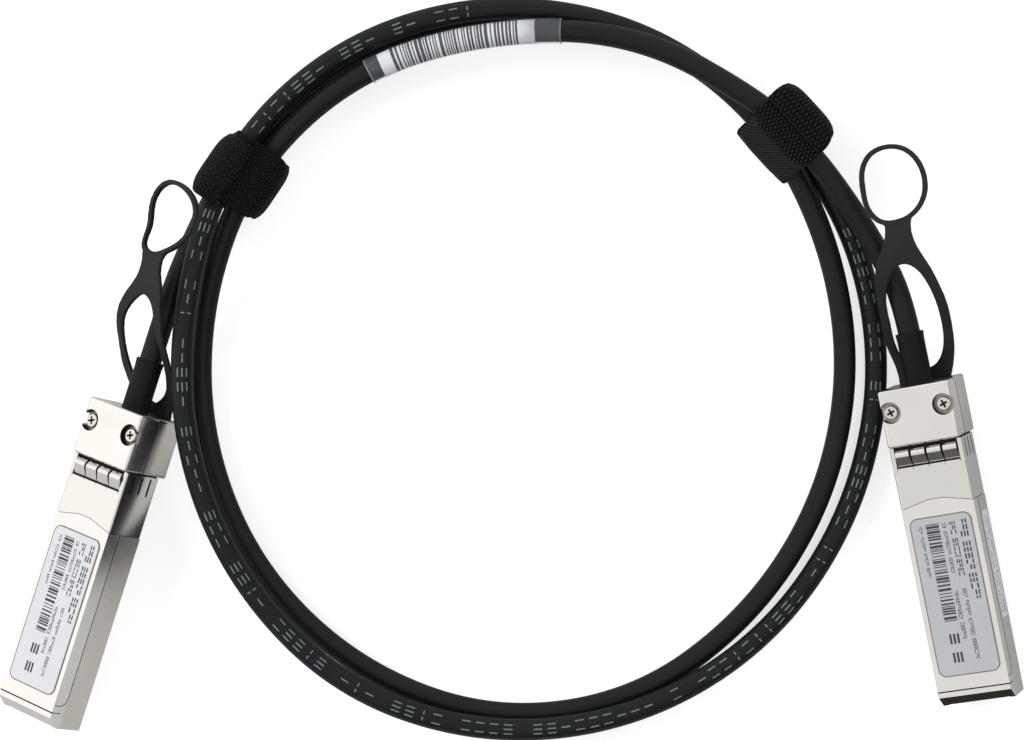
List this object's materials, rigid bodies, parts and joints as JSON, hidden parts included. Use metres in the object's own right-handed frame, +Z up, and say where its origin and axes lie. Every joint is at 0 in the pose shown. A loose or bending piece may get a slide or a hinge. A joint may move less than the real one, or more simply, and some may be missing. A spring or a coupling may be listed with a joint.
{
  "type": "direct attach copper cable",
  "caption": "Coiled twin-axial copper cable with a pluggable metal housing, latch pull tab and strain boot at each end, held by hook-and-loop ties.",
  "frame": {"origin": "on the surface the cable lies on, at the middle of the bounding box of the two plugs and their tabs", "axes": "+Z up out of the coil's plane, +X from plug a to plug b, +Y away from the plugs' noses"},
  "size_m": [0.1844, 0.1338, 0.0189],
  "materials": {
    "plated_housing": "satin nickel plate",
    "spring_steel": "bright",
    "screw_steel": "bright",
    "circuit_board": "solder mask",
    "gold_contact": "polished",
    "black_chip": "matt",
    "wire_insulation": "smooth",
    "clamp_metal": "satin",
    "boot_rubber": "matt",
    "latch_steel": "satin",
    "tab_rubber": "matt",
    "label_paper": "satin",
    "clear_sleeve": "glossy",
    "cable_jacket": "matt",
    "hook_and_loop": "looped"
  },
  "bodies": {
    "cable_assembly": {"base_shell_a": "plated_housing", "base_shell_b": "plated_housing", "board_contacts_a": "gold_contact", "board_contacts_b": "gold_contact", "cable": "cable_jacket", "cable_clamp_a": "clamp_metal", "cable_clamp_b": "clamp_metal", "cable_label": "clear_sleeve", "cover_screw_left_a": "screw_steel", "cover_screw_left_b": "screw_steel", "cover_screw_right_a": "screw_steel", "cover_screw_right_b": "screw_steel", "emi_collar_a": "spring_steel", "emi_collar_b": "spring_steel", "memory_chip_a": "black_chip", "memory_chip_b": "black_chip", "paddle_board_a": "circuit_board", "paddle_board_b": "circuit_board", "plug_label_a": "label_paper", "plug_label_b": "label_paper", "strain_boot_a": "boot_rubber", "strain_boot_b": "boot_rubber", "tie_left": "hook_and_loop", "tie_right": "hook_and_loop", "top_cover_a": "plated_housing", "top_cover_b": "plated_housing", "wire_pairs_a": "wire_insulation", "wire_pairs_b": "wire_insulation"},
    "pull_a": {"pull_tab_a": "tab_rubber", "latch_slider_a": "latch_steel"},
    "pull_b": {"pull_tab_b": "tab_rubber", "latch_slider_b": "latch_steel"}
  },
  "joints": [
    {"name": "latch_pull_a", "type": "slide", "parent": "cable_assembly", "child": "pull_a", "axis": [0.3056, 0.9518, 0.0263], "range_m": [0, 0.0016], "stiffness_N_per_m": 900, "springref_m": -0.0004},
    {"name": "latch_pull_b", "type": "slide", "parent": "cable_assembly", "child": "pull_b", "axis": [-0.1993, 0.9795, 0.0301], "range_m": [0, 0.0016], "stiffness_N_per_m": 900, "springref_m": -0.0004}
  ]
}
